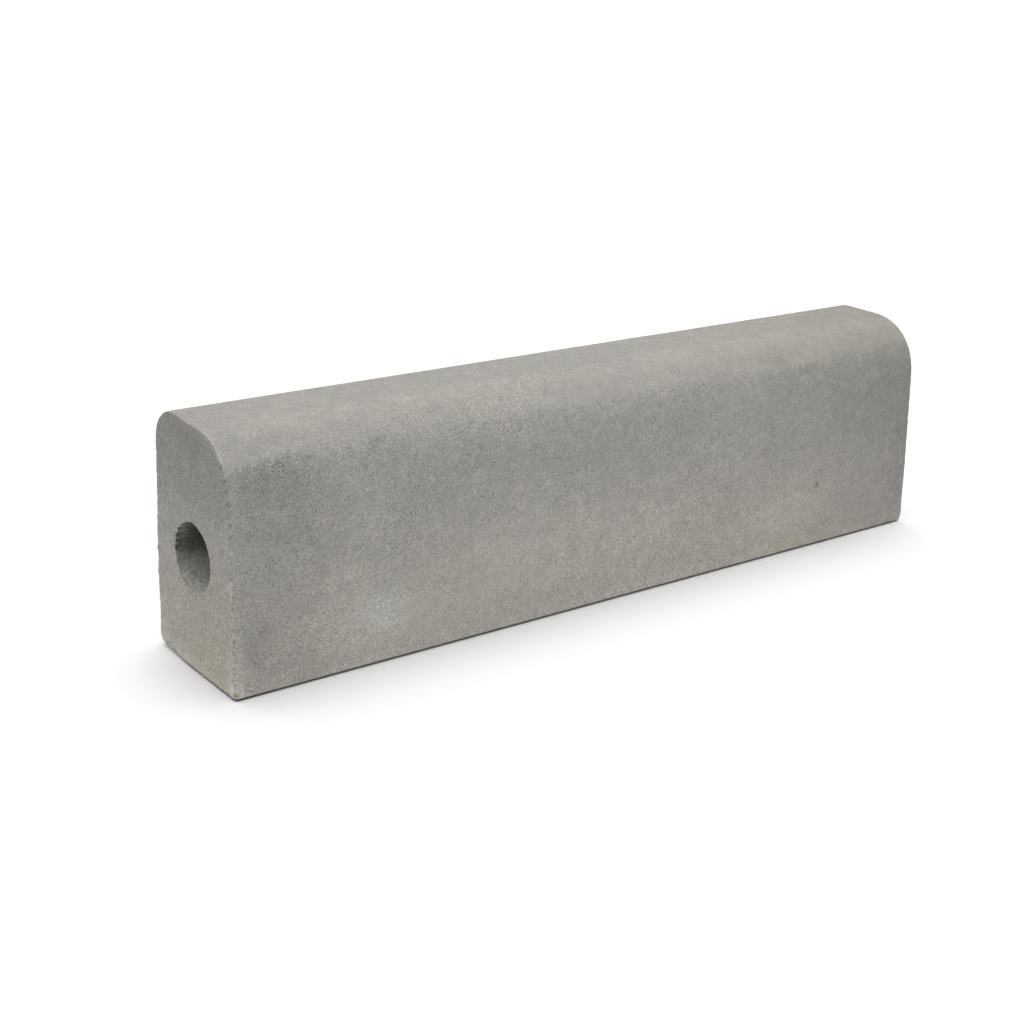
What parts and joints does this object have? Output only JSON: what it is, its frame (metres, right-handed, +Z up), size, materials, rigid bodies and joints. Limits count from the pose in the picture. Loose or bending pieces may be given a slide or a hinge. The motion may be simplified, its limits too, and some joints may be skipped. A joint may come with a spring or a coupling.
{
  "type": "concrete kerb stone",
  "caption": "Precast concrete kerb stone with a battered front face, a large rounding at the front of its top, a smaller one at the back and a round core along its length.",
  "frame": {"origin": "on the floor under the middle of the base", "axes": "+X along the kerb, -Y out of the exposed battered front face, +Z up"},
  "size_m": [1, 0.165, 0.265],
  "materials": {
    "concrete": "pressed concrete, matt, fine sandy grain with small pits, warm grey, smoother and lighter on top"
  },
  "bodies": {
    "root": {"kerb_stone": "concrete"}
  },
  "joints": []
}
